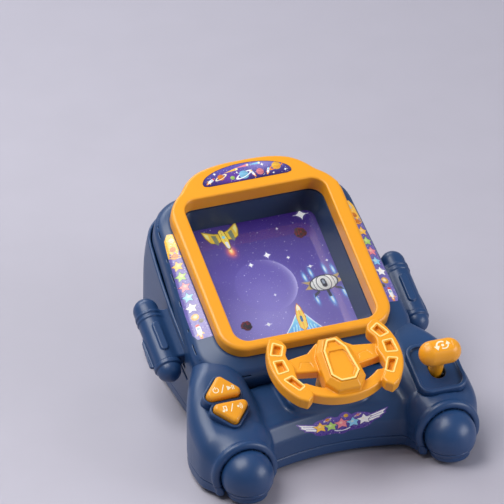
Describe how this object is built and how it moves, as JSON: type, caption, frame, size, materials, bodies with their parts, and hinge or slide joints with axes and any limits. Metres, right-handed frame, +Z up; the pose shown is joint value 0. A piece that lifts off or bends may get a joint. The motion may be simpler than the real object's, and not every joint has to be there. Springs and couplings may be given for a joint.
{
  "type": "tabletop electronic driving game",
  "caption": "Tabletop electronic space driving game: sloping display in a yellow frame, turning wheel, shift lever, push buttons and side boosters on a blue body.",
  "frame": {"origin": "on the table under the middle of the toy's bounding box", "axes": "+Z up; the player sits at -Y and sees the screen facing -Y and up; +X to the player's right"},
  "size_m": [0.1912, 0.2212, 0.1245],
  "materials": {
    "navy_shell": "moulded dark blue ABS, soft gloss",
    "yellow_trim": "moulded warm yellow ABS, soft gloss",
    "navy_dark": "moulded dark blue ABS, inside walls",
    "clear_window": "clear acrylic sheet",
    "display_art": "printed purple star field behind the display glass",
    "sticker_print": null,
    "light_guide": "white diffuser",
    "board": "green circuit board",
    "black_parts": "black epoxy and moulded black parts",
    "flex_tail": "amber polyimide flex",
    "silicone": "translucent grey silicone",
    "bearing_plastic": "white acetal",
    "steel": "zinc-plated steel",
    "nickel": "nickel-plated spring steel",
    "paper_cone": "treated paper cone",
    "cell_jacket": "plain dark cell jacket",
    "foot_rubber": "black rubber"
  },
  "bodies": {
    "console": {"bottom_shell": "navy_shell", "front_body": "navy_shell", "rear_housing": "navy_shell", "screen_housing": "navy_shell", "booster_left": "navy_shell", "booster_right": "navy_shell", "booster_nozzle_left": "navy_shell", "booster_nozzle_right": "navy_shell", "screen_frame": "yellow_trim", "screen_shroud": "navy_dark", "screen_window": "clear_window", "lcd_panel": "display_art", "backdrop_film": "display_art", "backlight": "light_guide", "main_board": "board", "driver_chip": "black_parts", "board_screws": "steel", "display_flex": "flex_tail", "marquee_sticker": "sticker_print", "side_sticker_left": "sticker_print", "side_sticker_right": "sticker_print", "front_sticker": "sticker_print", "steering_bush": "bearing_plastic", "steering_spring": "nickel", "steering_switch_board": "board", "lever_plate": "navy_shell", "lever_bracket": "bearing_plastic", "lever_pivot_pin": "steel", "lever_pads": "silicone", "lever_switch_board": "board", "button_pads": "silicone", "button_board": "board", "speaker_frame": "steel", "speaker_cone": "paper_cone", "speaker_magnet": "steel", "battery_cells": "cell_jacket", "battery_contacts": "nickel", "battery_springs": "nickel", "rear_feet": "foot_rubber", "housing_screws": "steel"},
    "wheel": {"steering_wheel": "yellow_trim", "wheel_hub_cap": "yellow_trim", "steering_shaft": "bearing_plastic", "steering_cam": "bearing_plastic", "shaft_screw": "steel"},
    "lever": {"lever_stem": "yellow_trim", "lever_knob": "yellow_trim"},
    "start_key": {"start_button": "yellow_trim"},
    "mode_key": {"mode_button": "yellow_trim"},
    "door": {"battery_door": "navy_shell", "battery_door_screw": "steel"}
  },
  "joints": [
    {"name": "wheel_turn", "type": "hinge", "parent": "console", "child": "wheel", "pos_m": [0, -0.0684, 0.0752], "axis": [0, -0.3256, 0.9455], "range_deg": [-45, 45], "stiffness_Nm_per_rad": 0.04},
    {"name": "lever_tilt", "type": "hinge", "parent": "console", "child": "lever", "pos_m": [0.0707, -0.05921, 0.03915], "axis": [1, 0, 0], "range_deg": [-14, 14], "stiffness_Nm_per_rad": 0.05},
    {"name": "start_press", "type": "slide", "parent": "console", "child": "start_key", "axis": [0, 0.5, -0.866], "range_m": [0, 0.0014], "stiffness_N_per_m": 300},
    {"name": "mode_press", "type": "slide", "parent": "console", "child": "mode_key", "axis": [0, 0.5, -0.866], "range_m": [0, 0.0014], "stiffness_N_per_m": 300},
    {"name": "door_off", "type": "slide", "parent": "console", "child": "door", "axis": [0, 0, -1], "range_m": [0, 0.02]}
  ]
}
